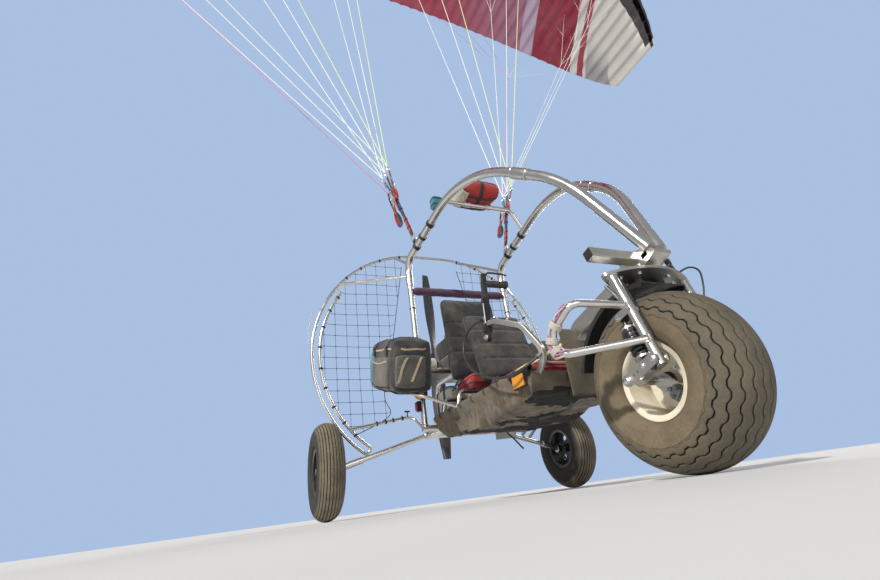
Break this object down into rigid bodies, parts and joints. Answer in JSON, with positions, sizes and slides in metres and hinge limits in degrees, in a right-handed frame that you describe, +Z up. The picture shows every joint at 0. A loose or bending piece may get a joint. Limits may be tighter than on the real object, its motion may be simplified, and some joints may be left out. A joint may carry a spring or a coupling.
{
  "type": "two-seat powered paraglider trike with canopy",
  "caption": "Tubular three-wheeled flying trike with a pusher propeller in a netted cage, parked on its wheels under an inflated arched canopy.",
  "frame": {"origin": "on the floor, under the middle of the whole aircraft's box", "axes": "+X forward, +Y to the pilot's left, +Z up"},
  "size_m": [4.7551, 11.214, 9.9539],
  "materials": {
    "front_tyre": "dusty rubber",
    "rear_tyre": "dusty rubber",
    "front_rim": "cream paint",
    "rear_rim": "black paint",
    "frame": "bare polished tube",
    "fork": "satin plate and tube",
    "ring": "lime",
    "steel": "bright steel",
    "dark_metal": "black paint",
    "dark_plastic": "moulded black",
    "engine": "cast",
    "tank": "translucent white",
    "propeller": "carbon",
    "net": "black cord",
    "seat": "red fabric",
    "bag": "brown fabric",
    "pannier": "black fabric",
    "rescue": "red fabric",
    "pouch": "teal fabric",
    "pad": "purple fabric",
    "webbing": "black webbing",
    "line": "sheathed line",
    "canopy": "coated ripstop cloth"
  },
  "bodies": {
    "frame": {"arch_left": "frame", "arch_right": "frame", "arch_web": "frame", "axle_beam_left": "frame", "axle_beam_right": "frame", "belly_bag": "bag", "cage_braces": "frame", "cage_hoop": "frame", "cage_nets": "net", "canopy": "canopy", "control_arm": "frame", "control_hose": "dark_plastic", "cross_pad": "pad", "engine": "engine", "engine_mount": "dark_metal", "exhaust": "dark_metal", "front_seat": "seat", "fuel_tank": "tank", "hang_brackets": "frame", "head_box": "frame", "keel_beam": "frame", "lower_frame": "frame", "mast_left": "frame", "mast_right": "frame", "mud_flap": "bag", "pannier_left": "pannier", "pannier_right": "pannier", "rear_seat": "seat", "redrive": "engine", "rescue_pack": "rescue", "risers": "webbing", "roll_bar": "frame", "side_tubes": "frame", "suspension_lines": "line", "throttle_lever": "dark_plastic", "toe_bar": "frame", "tool_pouch": "pouch"},
    "fork": {"fork_plate": "fork", "bearing_ring": "ring", "fork_legs": "fork", "fork_links": "fork", "shocks": "dark_metal", "footrests": "fork", "front_axle": "steel", "brake_caliper": "fork", "front_fender": "dark_plastic"},
    "front_wheel": {"front_tyre": "front_tyre", "front_rim": "front_rim"},
    "rear_wheel_right": {"rear_tyre_right": "rear_tyre", "rear_rim_right": "rear_rim"},
    "rear_wheel_left": {"rear_tyre_left": "rear_tyre", "rear_rim_left": "rear_rim"},
    "airscrew": {"propeller": "propeller"},
    "damper_barrel": {"damper_tube": "dark_metal"},
    "damper_shaft": {"damper_rod": "steel"}
  },
  "joints": [
    {"name": "steering", "type": "hinge", "parent": "frame", "child": "fork", "pos_m": [2.1405, 0, 0.6], "axis": [-0.2334, 0, 0.9724], "range_deg": [-25, 25]},
    {"name": "front_wheel_spin", "type": "hinge", "parent": "fork", "child": "front_wheel", "pos_m": [2.1175, 0, 0.26], "axis": [0, 1, 0], "continuous": true},
    {"name": "rear_wheel_right_spin", "type": "hinge", "parent": "frame", "child": "rear_wheel_right", "pos_m": [0.5775, -0.746, 0.233], "axis": [0, 1, 0], "continuous": true},
    {"name": "rear_wheel_left_spin", "type": "hinge", "parent": "frame", "child": "rear_wheel_left", "pos_m": [0.5775, 0.746, 0.233], "axis": [0, 1, 0], "continuous": true},
    {"name": "propeller_spin", "type": "hinge", "parent": "frame", "child": "airscrew", "pos_m": [0.4055, 0, 0.868], "axis": [1, 0, 0], "continuous": true},
    {"name": "damper_swing", "type": "hinge", "parent": "frame", "child": "damper_barrel", "pos_m": [2.20265, 0.047, 0.60669], "axis": [-0.2334, 0, 0.9724], "range_deg": [-28, 28]},
    {"name": "damper_stroke", "type": "slide", "parent": "damper_barrel", "child": "damper_shaft", "axis": [-0.4747, 0.8728, -0.114], "range_m": [-0.0325, 0.0325]}
  ],
  "couplings": [
    {"joint": "damper_swing", "follows": "steering", "ratio": 1.11},
    {"joint": "damper_stroke", "follows": "steering", "m_per_rad": 0.0739}
  ]
}
